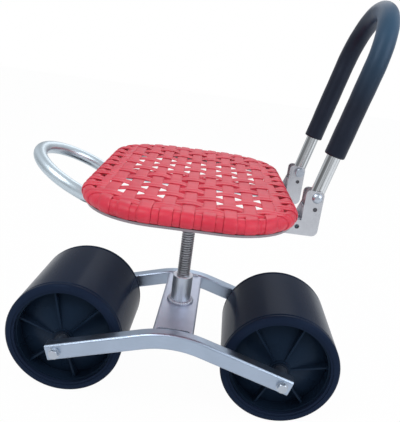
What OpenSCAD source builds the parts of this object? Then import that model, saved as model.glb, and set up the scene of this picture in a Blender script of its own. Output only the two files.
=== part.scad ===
// Rolling garden seat: two wide roller wheels, an arched two-beam frame, a screw post that
// raises the seat, a strap-woven seat with a loop handle and a folding padded backrest.
// +Z is up, the origin is on the ground under the screw, -X is the handle end (front),
// +X is the backrest end (rear), and -Y is the sitter's left.

/* [Wheels] */
// Diameter of each roller wheel
wheel_d = 180; // [150:1:200]
// Width of each roller wheel
wheel_w = 168; // [130:1:170]
// Distance from the screw to each axle
axle_reach = 165; // [150:1:200]
// Radial width of the rim ring on a wheel's end
rim_w = 14; // [10:0.5:18]
// Wall of the drum between its rims
drum_wall = 5; // [3:0.5:8]
// How deep the dished disc sinks behind the wheel's face
disc_depth = 26; // [16:1:30]
// Thickness of the dished disc
disc_t = 3.5; // [2:0.5:5]
// Ribs on each dished disc
rib_count = 6; // [3:1:10]
// Thickness of a rib
rib_t = 3; // [2:0.5:5]
// Turn of the front wheel's ribs, in degrees
front_wheel_turn = 45; // [0:1:359]
// Turn of the rear wheel's ribs, in degrees
rear_wheel_turn = 8; // [0:1:359]

/* [Axles] */
// Diameter of the axle rods
axle_d = 12; // [10:0.5:14]
// Thread diameter of the bolts that clamp an axle
axle_bolt_d = 8; // [5:0.5:9]
// Width across the flats of a bolt's head
bolt_flats = 13; // [10:0.5:16]
// Height of a bolt's head
bolt_head_h = 5.5; // [4:0.5:8]
// How far a clamping bolt reaches into the axle
bolt_grip = 18; // [10:1:30]
// Outer diameter of the washers
washer_d = 17; // [15:0.5:19]
// Thickness of the washers
washer_t = 1.6; // [1:0.1:2.5]
// Outer diameter of the spacer between beam and wheel
spacer_d = 20; // [16:0.5:24]
// Gap between a wheel's face and the beam beside it
wheel_gap = 17; // [8:1:25]

/* [Frame] */
// Height of a beam's section
beam_h = 24.5; // [20:0.5:30]
// Width of a beam's section
beam_w = 20; // [14:0.5:26]
// Wall of the beam tube
beam_wall = 2; // [1.5:0.5:3]
// Outer corner radius of the beam tube
beam_round = 4; // [3:0.5:5]
// Slope of the beam's arms, in degrees
beam_slope = 16.7; // [12:0.1:20]
// Bend radius of the arch, at the beam's middle
arch_r = 152; // [120:1:180]
// How far a beam runs past its axle bolt
beam_overhang = 13; // [11:0.5:20]
// Width of the plate that joins the beams
plate_w = 60; // [50:1:70]
// Thickness of that plate
plate_t = 3; // [2:0.5:4]
// Depth of the plate's folded edges
plate_fold = 15; // [10:0.5:18]
// Depth of the plate's top below the crown of the beams
plate_drop = 4; // [3:0.5:5]

/* [Screw post] */
// Diameter of the screw
screw_d = 20; // [16:0.5:24]
// Pitch of the screw's thread
screw_pitch = 4; // [2:0.5:5]
// Height of the screw's lower end above the ground
screw_foot = 75; // [60:1:90]
// Outer diameter of the threaded sleeve
sleeve_d = 32; // [26:0.5:34]
// Height of the sleeve above the plate
sleeve_h = 46; // [30:1:60]
// Size of the weld bead round the sleeve
weld_size = 5.5; // [2:0.5:6]

/* [Seat frame] */
// Length of the seat frame from front to rear, at the tube's middle
seat_len = 261; // [250:1:265]
// Width of the seat frame from side to side, at the tube's middle
seat_w = 400; // [360:2:440]
// Corner radius of the seat frame, at the tube's middle
seat_corner_r = 89.5; // [60:0.5:110]
// Height of the seat frame's middle above the ground
seat_z = 343; // [330:1:380]
// How far the seat frame sits forward of the screw
seat_forward = 2.4; // [0:0.2:4]
// Turn of the seat on its screw, in degrees
seat_turn = 2; // [0:1:3]
// Diameter of the seat frame's tube
frame_tube_d = 16; // [14:0.5:18]
// Width of the flat hoop under the frame
hoop_w = 8; // [6:0.5:10]
// Height of the flat hoop
hoop_h = 3; // [2:0.5:4]
// Height of the pads between the rails and the hoop
pad_h = 2; // [1.5:0.5:3]
// Length of the plate on top of the screw, across the rails
head_plate_len = 190; // [180:1:230]
// Width of that plate
head_plate_w = 56; // [45:1:70]
// Thickness of that plate
head_plate_t = 4; // [3:0.5:6]
// Outer diameter of the collar under that plate
collar_d = 32; // [28:0.5:40]
// Height of the collar
collar_h = 14; // [8:0.5:20]

/* [Woven straps] */
// Thickness of a strap
strap_t = 1.2; // [0.8:0.1:2]
// Width of a strap that runs from side to side
cross_strap_w = 15.4; // [10:0.1:18]
// Distance from the frame's middle line to the first of those straps
cross_margin = 31.7; // [28:0.1:42]
// Straps that run from side to side, without the edge straps
cross_count = 9; // [5:2:9]
// Width of the narrow strap beside each of the frame's long sides
edge_strap_w = 9.4; // [6:0.2:10]
// Distance from the frame's middle line to that strap
edge_strap_in = 12.8; // [12.8:0.1:13.5]
// Width of one of the paired straps that run from front to rear
long_strap_w = 8.8; // [6:0.1:10]
// Distance from the frame's middle line to the first of those pairs
long_margin = 41.5; // [39:0.1:60]
// Pairs that run from front to rear, without the end pairs
long_count = 11; // [5:2:11]
// Distance from the frame's middle line to the pair at each end
end_pair_in = 17.4; // [17:0.1:20]
// Gap between the two straps of a pair
pair_gap = 0.4; // [0.2:0.1:1]

/* [Handle and rails] */
// Diameter of the handle's tube, which runs back as the seat's rails
rail_d = 19; // [16:0.5:19]
// Wall of the handle's tube
rail_wall = 1.5; // [1:0.5:2.5]
// Distance between the two rails
rail_gauge = 158; // [146:1:168]
// Length of the loop beyond the seat's front edge, at the tube's middle
handle_len = 95.1; // [88:1:103]
// Rise of the loop, in degrees
handle_rise = 25; // [15:1:35]
// Bend radius where the loop leaves the rails
handle_bend_r = 30; // [20:1:35]
// Distance from the uprights' rear edge to the rails' ends
rail_inset = 14.5; // [8:0.5:20]

/* [Backrest] */
// Diameter of the backrest's tube
back_tube_d = 19; // [17:0.5:19]
// Wall of the backrest's tube
back_wall = 1.5; // [1:0.5:2.5]
// Distance from the pivots to the loop's top, at the tube's middle
back_len = 257; // [220:1:290]
// Lean of the backrest behind the upright, in degrees
back_lean = 13.3; // [12:0.1:13.5]
// Length of each leg below its pivot
leg_tail = 19; // [18:0.5:19]
// Outer diameter of the foam sleeve
foam_d = 28; // [24:0.5:32]
// Distance from the pivots to the foam's ends
foam_start = 59; // [50:1:80]
// Gap between a leg's lower end and the web in front of it
tail_gap = 0.4; // [0.4:0.1:2]
// Height of the pivots above the middle of the rails
pivot_rise = 42.3; // [41:0.1:47]

/* [Brackets] */
// Thickness of the bracket's sheet
sheet_t = 2; // [1.5:0.5:3]
// Thickness of the bracket's front web
web_t = 1.5; // [1:0.5:2]
// Inside width of the bracket's channel
channel_w = 19.6; // [19.4:0.1:21]
// Gap between the seat's rear edge and the uprights
bracket_gap = 12.6; // [12.6:0.2:16]
// Distance from the pivot to the upright's rear edge
arm_rear = 9; // [8:0.5:10]
// Height of the bracket above its pivot
arm_top = 9.5; // [8:0.5:12]
// Height of the front web's top below the pivot
web_drop = 14; // [12:0.5:16]
// Length of the bracket's foot under the seat
foot_len = 45; // [30:1:60]
// Corner radius at the bracket's lower rear corner
heel_r = 8; // [5:0.5:10]
// Corner radius at the bracket's top
top_r = 6; // [4:0.5:8]
// How far the inner gusset reaches forward of the upright
gusset_reach = 8; // [4:0.5:9]
// Height of the gusset
gusset_h = 23; // [15:1:26]
// Thread diameter of the pivot bolts
pivot_bolt_d = 8; // [6:0.5:9]
// Diameter of a pivot bolt's domed head
dome_d = 14; // [12:0.5:16]
// Height of the domed head
dome_h = 4.5; // [3:0.5:6]
// Thickness of a pivot bolt's nut
nut_h = 6.5; // [5:0.5:8]
// Diameter of the open cross hole in each bracket's foot
cross_hole_d = 6.4; // [4:0.1:8]
// Distance from the upright's front edge to the cross hole
cross_hole_lead = 4.5; // [4:0.5:10]
// Diameter of the spare hole under each pivot
spare_hole_d = 6; // [4:0.5:7]
// Depth of the spare hole below the pivot
spare_hole_drop = 16; // [14:0.5:18]

/* [Hidden] */
$fn = 48;

steel = [0.78, 0.81, 0.86];
dark_steel = [0.45, 0.48, 0.52];
bright_steel = [0.86, 0.88, 0.9];
wheel_black = [0.09, 0.1, 0.14];
bush_grey = [0.3, 0.31, 0.34];
strap_red = [0.88, 0.33, 0.4];
foam_black = [0.1, 0.11, 0.14];

// Which end and which side a piece belongs to
front = -1;
rear = 1;
left = -1;
right = 1;

// Clearances: a turning or sliding fit, a seated or welded fit, and the end play of a wheel
run_fit = 0.05;
seat_fit = 0.1;
end_play = 0.3;
// Overrun of every cutting shape
cut = 1;
// Degrees by which the two halves of a bend overlap
arc_lap = 1;

wheel_r = wheel_d / 2;
half_w = wheel_w / 2;

// Wheel details: rounded shoulder, groove round the drum, step in the rim's face
shoulder_r = 5;
groove_w = 2;
groove_d = 1.2;
groove_in = 8;
rim_step = 1.5;
rim_land = 4;
rim_r = wheel_r - rim_w;
rim_depth = disc_depth + disc_t + rim_step;
disc_lip_t = 3;
disc_lip_in = 7;
disc_r = rim_r - seat_fit;
disc_in_r = disc_r - disc_lip_t;
hub_r = 16;
hub_lead = 3;
hub_len = 36;
rib_lead = 12;
bush_r = 9;
bush_flange_r = 13;
bush_flange_t = 2.2;
bush_len = 30;

// Beams: the arms' middle line passes through the axles
beam_in = half_w + wheel_gap;
beam_y = beam_in + beam_w / 2;
beam_out = beam_in + beam_w;
arch_run = arch_r * sin(beam_slope);
arch_z = wheel_r + (axle_reach - arch_run) * tan(beam_slope) - arch_r * cos(beam_slope);
arm_len = (axle_reach - arch_run) / cos(beam_slope) + beam_overhang;
crown_z = arch_z + arch_r + beam_h / 2;
plate_z = crown_z - plate_drop;
plate_round = 4;

// Screw post
screw_r = screw_d / 2;
depth_share = 0.56;
crest_share = 0.37;
flank_share = 0.15;
thread_depth = depth_share * screw_pitch;
screw_chamfer = 2;
sleeve_r = sleeve_d / 2;
sleeve_tail = 2;
sleeve_chamfer = 1.2;

// Stack under the seat, worked out downwards from the frame's middle
tube_r = frame_tube_d / 2;
wrap_in = tube_r + seat_fit;
wrap_r = wrap_in + strap_t;
hoop_top = seat_z - wrap_r - seat_fit;
hoop_z = hoop_top - hoop_h;
rail_r = rail_d / 2;
rail_z = hoop_z - pad_h - 2 * seat_fit - rail_r;
head_plate_top = rail_z - rail_r - seat_fit;
head_plate_z = head_plate_top - head_plate_t;
plain_top = collar_h + 4;
collar_rise = head_plate_z - collar_h;

frame_wall = 1.5;
pad_w = 12;
pad_round = 1;
half_len = seat_len / 2;
half_seat = seat_w / 2;
weave_z = seat_z + wrap_r;
cross_pitch = (seat_len - 2 * cross_margin) / (cross_count - 1);
long_pitch = (seat_w - 2 * long_margin) / (long_count - 1);

// Handle
half_gauge = rail_gauge / 2;
bend_x = seat_forward + half_len + hoop_w / 2;
rise_x = bend_x + handle_bend_r * sin(handle_rise);
bend_swell = 0.05;
bend_lap = 1;
rise_len = (bend_x + handle_len - rise_x) / cos(handle_rise) - half_gauge;

// Backrest and brackets
pivot_z = rail_z + pivot_rise;
back_r = back_tube_d / 2;
back_straight = back_len - half_gauge;
foam_r = foam_d / 2;
arm_front_x = half_len - seat_forward + wrap_r + bracket_gap;
pivot_x = arm_front_x + web_t + tail_gap + leg_tail * sin(back_lean) + back_r * cos(back_lean);
arm_rear_x = pivot_x + arm_rear;
rail_end = arm_rear_x - rail_inset;
foot_front_x = arm_front_x - foot_len;
foot_z = rail_z - rail_r - seat_fit - sheet_t;
foot_top = rail_z + rail_r;
arm_top_z = pivot_z + arm_top;
channel_out = channel_w / 2 + sheet_t;
cross_hole_x = arm_front_x - cross_hole_lead;

// Points of an arc about a centre, from angle a to angle b
function arc(x, y, r, a, b, steps = 6) =
    [for (i = [0:steps]) let (t = a + (b - a) * i / steps) [x + r * cos(t), y + r * sin(t)]];

// Outline of a rounded rectangle about the origin
function rounded_box(hx, hy, r, steps = 6) = concat(
    arc(hx - r, hy - r, r, 0, 90, steps),
    arc(-hx + r, hy - r, r, 90, 180, steps),
    arc(-hx + r, -hy + r, r, 180, 270, steps),
    arc(hx - r, -hy + r, r, 270, 360, steps));

// Straight tube up from the origin
module pipe(r, bore, len) {
    difference() {
        cylinder(r = r, h = len);
        translate([0, 0, -cut]) cylinder(r = bore, h = len + 2 * cut);
    }
}

// Tube bent about the Z axis, starting on +X
module bent_pipe(r, bore, bend, angle) {
    rotate_extrude(angle = angle) translate([bend, 0]) difference() {
        circle(r);
        circle(bore);
    }
}

// Upright U of tube in the YZ plane, with its legs starting at height start
module u_pipe(r, bore, half, start, straight) {
    for (side = [left, right]) translate([0, side * half, start]) pipe(r, bore, straight - start);
    translate([0, 0, straight]) rotate([90, 0, 90]) bent_pipe(r, bore, half, 180);
}

// Closed rounded-rectangle loop of tube, flat in the XY plane
module loop_pipe(r, bore, hx, hy, corner) {
    for (side = [left, right]) {
        translate([-hx + corner, side * hy, 0]) rotate([0, 90, 0]) pipe(r, bore, 2 * (hx - corner));
        translate([side * hx, hy - corner, 0]) rotate([90, 0, 0]) pipe(r, bore, 2 * (hy - corner));
    }
    for (q = [0:3]) {
        sx = (q == 0 || q == 3) ? 1 : -1;
        sy = q < 2 ? 1 : -1;
        translate([sx * (hx - corner), sy * (hy - corner), 0]) rotate([0, 0, 90 * q])
            bent_pipe(r, bore, corner, 90);
    }
}

// Hexagonal head or nut with chamfered corners on top
module hex_block(flats, h) {
    across = flats / cos(30);
    intersection() {
        cylinder(d = across, h = h, $fn = 6);
        rotate_extrude() polygon([[0, 0], [across / 2, 0], [across / 2, h - (across - flats) / 2],
            [flats / 2, h], [0, h]]);
    }
}

// Places a piece about an axle, with its own Z along -Y
module on_axle(end, turn = 0) {
    translate([end * axle_reach, 0, wheel_r]) rotate([90, 0, 0]) rotate([0, 0, turn]) children();
}

// Places a piece that turns with the seat
module on_seat() {
    rotate([0, 0, seat_turn]) children();
}

// Tube section of a beam: height along x, width along y
module beam_section() {
    difference() {
        polygon(rounded_box(beam_h / 2, beam_w / 2, beam_round));
        polygon(rounded_box(beam_h / 2 - beam_wall, beam_w / 2 - beam_wall, beam_round - beam_wall));
    }
}

// Half a beam: its arm, and the arch a little past the crown
module beam_half() {
    translate([0, arch_z, 0]) rotate([0, 0, 90 - beam_slope]) {
        rotate_extrude(angle = beam_slope + arc_lap) translate([arch_r, 0]) beam_section();
        translate([arch_r, 0, 0]) rotate([90, 0, 0]) linear_extrude(arm_len) beam_section();
    }
}

module beam(side) {
    color(steel) translate([0, side * beam_y, 0]) rotate([90, 0, 0]) difference() {
        union() {
            beam_half();
            mirror([1, 0, 0]) beam_half();
        }
        for (end = [front, rear]) translate([end * axle_reach, wheel_r, -beam_w / 2 - cut])
            cylinder(d = axle_bolt_d + 2 * seat_fit, h = beam_w + 2 * cut);
    }
}

module beam_left() { beam(left); }
module beam_right() { beam(right); }

// Plate between the beams, folded down along both edges
module cross_plate() {
    half = plate_w / 2;
    inner = plate_round - plate_t / 2;
    section = concat([[-half, plate_z - plate_fold]],
        arc(-half + plate_round, plate_z - plate_round, plate_round, 180, 90),
        arc(half - plate_round, plate_z - plate_round, plate_round, 90, 0),
        [[half, plate_z - plate_fold], [half - plate_t, plate_z - plate_fold]],
        arc(half - plate_t - inner, plate_z - plate_t - inner, inner, 0, 90),
        arc(-half + plate_t + inner, plate_z - plate_t - inner, inner, 90, 180),
        [[-half + plate_t, plate_z - plate_fold]]);
    color(steel) difference() {
        rotate([90, 0, 0]) translate([0, 0, -beam_in]) linear_extrude(2 * beam_in) polygon(section);
        translate([0, 0, plate_z - plate_t - cut])
            cylinder(r = sleeve_r + seat_fit, h = plate_t + 2 * cut);
    }
}

// Threaded sleeve that carries the screw, through the plate
module screw_sleeve() {
    bore = screw_r + run_fit;
    low = plate_z - plate_t - sleeve_tail;
    top = plate_z + sleeve_h;
    color(steel) rotate_extrude() polygon([[bore, low], [sleeve_r, low],
        [sleeve_r, top - sleeve_chamfer], [sleeve_r - sleeve_chamfer, top], [bore, top]]);
}

module sleeve_weld() {
    color(bright_steel) rotate_extrude()
        polygon(concat([[sleeve_r, plate_z]], arc(sleeve_r, plate_z, weld_size, 0, 90)));
}

module axle(end) {
    color(steel) on_axle(end) difference() {
        translate([0, 0, -beam_in]) cylinder(d = axle_d, h = 2 * beam_in);
        for (side = [left, right]) mirror([0, 0, side == left ? 0 : 1])
            translate([0, 0, beam_in - bolt_grip - cut])
                cylinder(d = axle_bolt_d + 2 * seat_fit, h = bolt_grip + 2 * cut);
    }
}

module axle_front() { axle(front); }
module axle_rear() { axle(rear); }

// Bolt with its washer's thickness between head and beam
module axle_bolt(end, side) {
    shank = bolt_grip + beam_w + washer_t;
    color(bright_steel) on_axle(end) mirror([0, 0, side == left ? 0 : 1]) {
        translate([0, 0, beam_out + washer_t]) hex_block(bolt_flats, bolt_head_h);
        translate([0, 0, beam_out + washer_t - shank]) cylinder(d = axle_bolt_d, h = shank);
    }
}

module axle_bolt_front_left() { axle_bolt(front, left); }
module axle_bolt_front_right() { axle_bolt(front, right); }
module axle_bolt_rear_left() { axle_bolt(rear, left); }
module axle_bolt_rear_right() { axle_bolt(rear, right); }

module washer(end, side) {
    color(bright_steel) on_axle(end) mirror([0, 0, side == left ? 0 : 1])
        translate([0, 0, beam_out]) pipe(washer_d / 2, axle_bolt_d / 2 + seat_fit, washer_t);
}

module washer_front_left() { washer(front, left); }
module washer_front_right() { washer(front, right); }
module washer_rear_left() { washer(rear, left); }
module washer_rear_right() { washer(rear, right); }

// Spacer on the axle between the beam and the wheel's bush
module spacer(end, side) {
    color(bright_steel) on_axle(end) mirror([0, 0, side == left ? 0 : 1])
        translate([0, 0, half_w + end_play])
            pipe(spacer_d / 2, axle_d / 2 + seat_fit, wheel_gap - end_play);
}

module spacer_front_left() { spacer(front, left); }
module spacer_front_right() { spacer(front, right); }
module spacer_rear_left() { spacer(rear, left); }
module spacer_rear_right() { spacer(rear, right); }

function wheel_turn(end) = end == front ? front_wheel_turn : rear_wheel_turn;

// Half outline of the drum, from its middle to one face
function drum_half() = concat(
    [[wheel_r, half_w - groove_in - groove_w - groove_d],
        [wheel_r - groove_d, half_w - groove_in - groove_w],
        [wheel_r - groove_d, half_w - groove_in],
        [wheel_r, half_w - groove_in + groove_d]],
    arc(wheel_r - shoulder_r, half_w - shoulder_r, shoulder_r, 0, 90),
    [[rim_r + rim_land, half_w], [rim_r + rim_land, half_w - rim_step],
        [rim_r, half_w - rim_step], [rim_r, half_w - rim_depth],
        [wheel_r - drum_wall, half_w - rim_depth - rim_w + drum_wall]]);

function flipped(points) = [for (i = [len(points) - 1:-1:0]) [points[i][0], -points[i][1]]];

module drum(end) {
    color(wheel_black) on_axle(end, wheel_turn(end))
        rotate_extrude($fn = 96) polygon(concat(drum_half(), flipped(drum_half())));
}

module drum_front() { drum(front); }
module drum_rear() { drum(rear); }

// Dished disc with a lip against the rim, a hub and radial ribs
module disc(end, side) {
    face = half_w - bush_flange_t;
    rib = [[hub_r - disc_t / 2, face - hub_lead / 2], [disc_in_r + disc_lip_t / 2, half_w - rib_lead],
        [disc_in_r + disc_lip_t / 2, half_w - disc_depth - disc_t / 2],
        [hub_r - disc_t / 2, face - hub_lead - disc_t / 2]];
    color(wheel_black) on_axle(end, wheel_turn(end)) mirror([0, 0, side == left ? 0 : 1]) {
        rotate_extrude($fn = 96) polygon([[bush_r + seat_fit, face], [hub_r, face],
            [hub_r, face - hub_lead], [disc_in_r, half_w - disc_depth],
            [disc_in_r, half_w - disc_lip_in], [disc_r, half_w - disc_lip_in],
            [disc_r, half_w - disc_depth - disc_t], [disc_in_r, half_w - disc_depth - disc_t],
            [hub_r, face - hub_lead - disc_t], [hub_r, half_w - hub_len],
            [bush_r + seat_fit, half_w - hub_len]]);
        for (i = [0:rib_count - 1]) rotate([0, 0, i * 360 / rib_count]) rotate([90, 0, 0])
            linear_extrude(rib_t, center = true) polygon(rib);
    }
}

module disc_front_left() { disc(front, left); }
module disc_front_right() { disc(front, right); }
module disc_rear_left() { disc(rear, left); }
module disc_rear_right() { disc(rear, right); }

// Flanged bush that turns on the axle
module bush(end, side) {
    bore = axle_d / 2 + run_fit;
    color(bush_grey) on_axle(end) mirror([0, 0, side == left ? 0 : 1])
        rotate_extrude() polygon([[bore, half_w], [bush_flange_r, half_w],
            [bush_flange_r, half_w - bush_flange_t], [bush_r, half_w - bush_flange_t],
            [bush_r, half_w - bush_len], [bore, half_w - bush_len]]);
}

module bush_front_left() { bush(front, left); }
module bush_front_right() { bush(front, right); }
module bush_rear_left() { bush(rear, left); }
module bush_rear_right() { bush(rear, right); }

// Screw with a plain top that sits in the head plate's collar
module screw() {
    root = screw_r - thread_depth;
    first = screw_foot + screw_chamfer;
    last = head_plate_z - plain_top;
    turns = floor((last - first) / screw_pitch);
    thread = [for (i = [0:turns - 1]) each [
        [root, first + i * screw_pitch],
        [screw_r, first + (i + flank_share) * screw_pitch],
        [screw_r, first + (i + flank_share + crest_share) * screw_pitch],
        [root, first + (i + 2 * flank_share + crest_share) * screw_pitch]]];
    color(dark_steel) rotate_extrude() polygon(concat(
        [[0, screw_foot], [root - screw_chamfer, screw_foot]],
        thread,
        [[root, first + turns * screw_pitch], [screw_r, first + turns * screw_pitch + thread_depth],
            [screw_r, head_plate_z], [0, head_plate_z]]));
}

// Plate under the rails, with the collar that the screw's top sits in
module head_plate() {
    color(steel) on_seat() union() {
        translate([-head_plate_w / 2, -head_plate_len / 2, head_plate_z])
            cube([head_plate_w, head_plate_len, head_plate_t]);
        translate([0, 0, collar_rise]) pipe(collar_d / 2, screw_r + run_fit, collar_h);
    }
}

// Loop handle and both rails, bent from one tube that swells a little in its bends
module handle_rail() {
    bore = rail_r - rail_wall;
    color(bright_steel) on_seat() difference() {
        translate([-bend_x, 0, rail_z + handle_bend_r]) {
            for (side = [left, right]) translate([-bend_lap, side * half_gauge, -handle_bend_r])
                rotate([0, 90, 0]) pipe(rail_r, bore, bend_lap + bend_x + rail_end);
            rotate([0, handle_rise, 0]) {
                for (side = [left, right]) translate([0, side * half_gauge, 0]) rotate([90, 0, 0])
                    rotate([0, 0, 270]) bent_pipe(rail_r + bend_swell, bore - bend_swell,
                        handle_bend_r, handle_rise);
                translate([0, 0, -handle_bend_r]) rotate([0, -90, 0])
                    u_pipe(rail_r, bore, half_gauge, -bend_lap, rise_len);
            }
        }
        cross_holes();
    }
}

// Through holes across the rails and the feet of the brackets
module cross_holes() {
    for (side = [left, right]) translate([cross_hole_x, side * half_gauge, rail_z])
        rotate([90, 0, 0]) cylinder(d = cross_hole_d, h = 2 * (channel_out + cut), center = true);
}

module seat_frame() {
    color(steel) on_seat() translate([-seat_forward, 0, seat_z])
        loop_pipe(tube_r, tube_r - frame_wall, half_len, half_seat, seat_corner_r);
}

// Pad welded between a rail and the hoop where they cross
module hoop_pad(end, side) {
    color(steel) on_seat()
        translate([-seat_forward + end * half_len, side * half_gauge, hoop_z - seat_fit - pad_h])
            linear_extrude(pad_h) polygon(rounded_box(hoop_w / 2, pad_w / 2, pad_round));
}

module hoop_pad_front_left() { hoop_pad(front, left); }
module hoop_pad_front_right() { hoop_pad(front, right); }
module hoop_pad_rear_left() { hoop_pad(rear, left); }
module hoop_pad_rear_right() { hoop_pad(rear, right); }

module seat_hoop() {
    color(steel) on_seat() translate([-seat_forward, 0, hoop_z]) linear_extrude(hoop_h) difference() {
        polygon(rounded_box(half_len + hoop_w / 2, half_seat + hoop_w / 2, seat_corner_r + hoop_w / 2, 12));
        polygon(rounded_box(half_len - hoop_w / 2, half_seat - hoop_w / 2, seat_corner_r - hoop_w / 2, 12));
    }
}

// Strap wound round the frame's tube, turn beside turn
module edge_wrap() {
    color(strap_red) on_seat() translate([-seat_forward, 0, seat_z])
        loop_pipe(wrap_r, wrap_in, half_len, half_seat, seat_corner_r);
}

// Half length of the seat at distance y from its middle, at the tube's crest
function reach_at(y, half_run, half_span) =
    let (over = max(0, abs(y) - (half_span - seat_corner_r)))
    half_run - seat_corner_r + sqrt(seat_corner_r * seat_corner_r - over * over);

// Places and widths of the straps: an evenly spaced run, and one more beside each edge
function strap_row(count, pitch, wide, edge, edge_wide) = concat([[-edge, edge_wide]],
    [for (i = [0:count - 1]) [(i - (count - 1) / 2) * pitch, wide]], [[edge, edge_wide]]);

module straps_crosswise() {
    color(strap_red) on_seat() translate([-seat_forward, 0, weave_z])
        for (strap = strap_row(cross_count, cross_pitch, cross_strap_w, half_len - edge_strap_in, edge_strap_w)) {
            reach = reach_at(abs(strap[0]) + strap[1] / 2, half_seat, half_len);
            translate([strap[0] - strap[1] / 2, -reach, 0]) cube([strap[1], 2 * reach, strap_t]);
        }
}

module straps_lengthwise() {
    color(strap_red) on_seat() translate([-seat_forward, 0, weave_z + strap_t])
        for (strap = strap_row(long_count, long_pitch, long_strap_w, half_seat - end_pair_in, long_strap_w),
            side = [left, right]) {
            y = strap[0] + side * (strap[1] + pair_gap) / 2;
            reach = reach_at(abs(y) + strap[1] / 2, half_len, half_seat);
            translate([-reach, y - strap[1] / 2, 0]) cube([2 * reach, strap[1], strap_t]);
        }
}

// Side outline of a bracket's cheek, with x along the seat and y up
function cheek_outline(gusset) = concat(
    [[foot_front_x, foot_z]],
    arc(arm_rear_x - heel_r, foot_z + heel_r, heel_r, 270, 360),
    arc(arm_rear_x - top_r, arm_top_z - top_r, top_r, 0, 90),
    arc(arm_front_x + top_r, arm_top_z - top_r, top_r, 90, 180),
    gusset ? [[arm_front_x, foot_top + gusset_h], [arm_front_x - gusset_reach, foot_top]]
        : [[arm_front_x, foot_top]],
    [[foot_front_x, foot_top]]);

module cheek(y, gusset) {
    translate([0, y, 0]) rotate([90, 0, 0]) linear_extrude(sheet_t, center = true)
        polygon(cheek_outline(gusset));
}

// Channel bracket: two cheeks, a web under the rail and a web in front of the leg's tail
module bracket(side) {
    cheek_y = (channel_w + sheet_t) / 2;
    color(bright_steel) on_seat() difference() {
        translate([0, side * half_gauge, 0]) {
            cheek(-cheek_y, false);
            cheek(cheek_y, true);
            translate([foot_front_x, -channel_w / 2, foot_z])
                cube([arm_rear_x - heel_r - foot_front_x, channel_w, sheet_t]);
            translate([arm_front_x, -channel_w / 2, foot_top])
                cube([web_t, channel_w, pivot_z - web_drop - foot_top]);
        }
        cross_holes();
        for (hole = [[pivot_bolt_d + 2 * seat_fit, pivot_z], [spare_hole_d, pivot_z - spare_hole_drop]])
            translate([pivot_x, side * half_gauge, hole[1]]) rotate([90, 0, 0])
                cylinder(d = hole[0], h = 2 * (channel_out + cut), center = true);
    }
}

module bracket_left() { bracket(left); }
module bracket_right() { bracket(right); }

// Places a piece about a pivot, with its own Z pointing away from the seat's middle
module on_pivot(side) {
    on_seat() translate([pivot_x, side * half_gauge, pivot_z]) rotate([90, 0, 0])
        mirror([0, 0, side == left ? 0 : 1]) children();
}

module pivot_bolt(side) {
    color(bright_steel) on_pivot(side) {
        translate([0, 0, channel_out]) rotate_extrude() polygon(concat([[0, 0]],
            [for (i = [0:8]) [dome_d / 2 * cos(90 * i / 8), dome_h * sin(90 * i / 8)]]));
        translate([0, 0, -channel_out - nut_h]) cylinder(d = pivot_bolt_d, h = 2 * channel_out + nut_h);
    }
}

module pivot_bolt_left() { pivot_bolt(left); }
module pivot_bolt_right() { pivot_bolt(right); }

module pivot_nut(side) {
    color(bright_steel) on_pivot(side) mirror([0, 0, 1]) translate([0, 0, channel_out]) difference() {
        hex_block(bolt_flats, nut_h);
        translate([0, 0, -cut]) cylinder(d = pivot_bolt_d + 2 * seat_fit, h = nut_h + 2 * cut);
    }
}

module pivot_nut_left() { pivot_nut(left); }
module pivot_nut_right() { pivot_nut(right); }

// Places a piece that leans with the backrest, with its origin between the pivots
module on_back() {
    on_seat() translate([pivot_x, 0, pivot_z]) rotate([0, back_lean, 0]) children();
}

module backrest_tube() {
    color(bright_steel) on_back() difference() {
        u_pipe(back_r, back_r - back_wall, half_gauge, -leg_tail, back_straight);
        rotate([90, 0, 0]) cylinder(d = pivot_bolt_d + 2 * run_fit, h = rail_gauge + 2 * back_tube_d,
            center = true);
    }
}

module backrest_foam() {
    color(foam_black) on_back()
        u_pipe(foam_r, back_r + seat_fit, half_gauge, foam_start, back_straight);
}

beam_left();
beam_right();
cross_plate();
screw_sleeve();
sleeve_weld();
axle_front();
axle_rear();
axle_bolt_front_left();
axle_bolt_front_right();
axle_bolt_rear_left();
axle_bolt_rear_right();
washer_front_left();
washer_front_right();
washer_rear_left();
washer_rear_right();
spacer_front_left();
spacer_front_right();
spacer_rear_left();
spacer_rear_right();
drum_front();
disc_front_left();
disc_front_right();
bush_front_left();
bush_front_right();
drum_rear();
disc_rear_left();
disc_rear_right();
bush_rear_left();
bush_rear_right();
screw();
head_plate();
handle_rail();
hoop_pad_front_left();
hoop_pad_front_right();
hoop_pad_rear_left();
hoop_pad_rear_right();
seat_frame();
seat_hoop();
edge_wrap();
straps_crosswise();
straps_lengthwise();
bracket_left();
bracket_right();
pivot_bolt_left();
pivot_bolt_right();
pivot_nut_left();
pivot_nut_right();
backrest_tube();
backrest_foam();
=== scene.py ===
import math

import bpy
import numpy as np
from mathutils import Matrix, Vector


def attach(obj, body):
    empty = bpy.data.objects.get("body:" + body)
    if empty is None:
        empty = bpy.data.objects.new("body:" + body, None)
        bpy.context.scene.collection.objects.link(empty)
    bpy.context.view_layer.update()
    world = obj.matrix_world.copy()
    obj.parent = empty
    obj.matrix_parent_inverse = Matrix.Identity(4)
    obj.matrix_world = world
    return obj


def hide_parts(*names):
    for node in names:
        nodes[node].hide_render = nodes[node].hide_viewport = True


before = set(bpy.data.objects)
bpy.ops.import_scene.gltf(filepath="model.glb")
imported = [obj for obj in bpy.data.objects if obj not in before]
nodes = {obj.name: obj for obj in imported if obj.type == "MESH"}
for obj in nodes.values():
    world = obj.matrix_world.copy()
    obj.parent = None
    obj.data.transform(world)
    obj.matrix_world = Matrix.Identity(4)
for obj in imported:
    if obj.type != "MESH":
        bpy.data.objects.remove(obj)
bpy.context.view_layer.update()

mm = 0.001
seatTurn = math.radians(2)       # the seat stands a little turned on its screw


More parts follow.
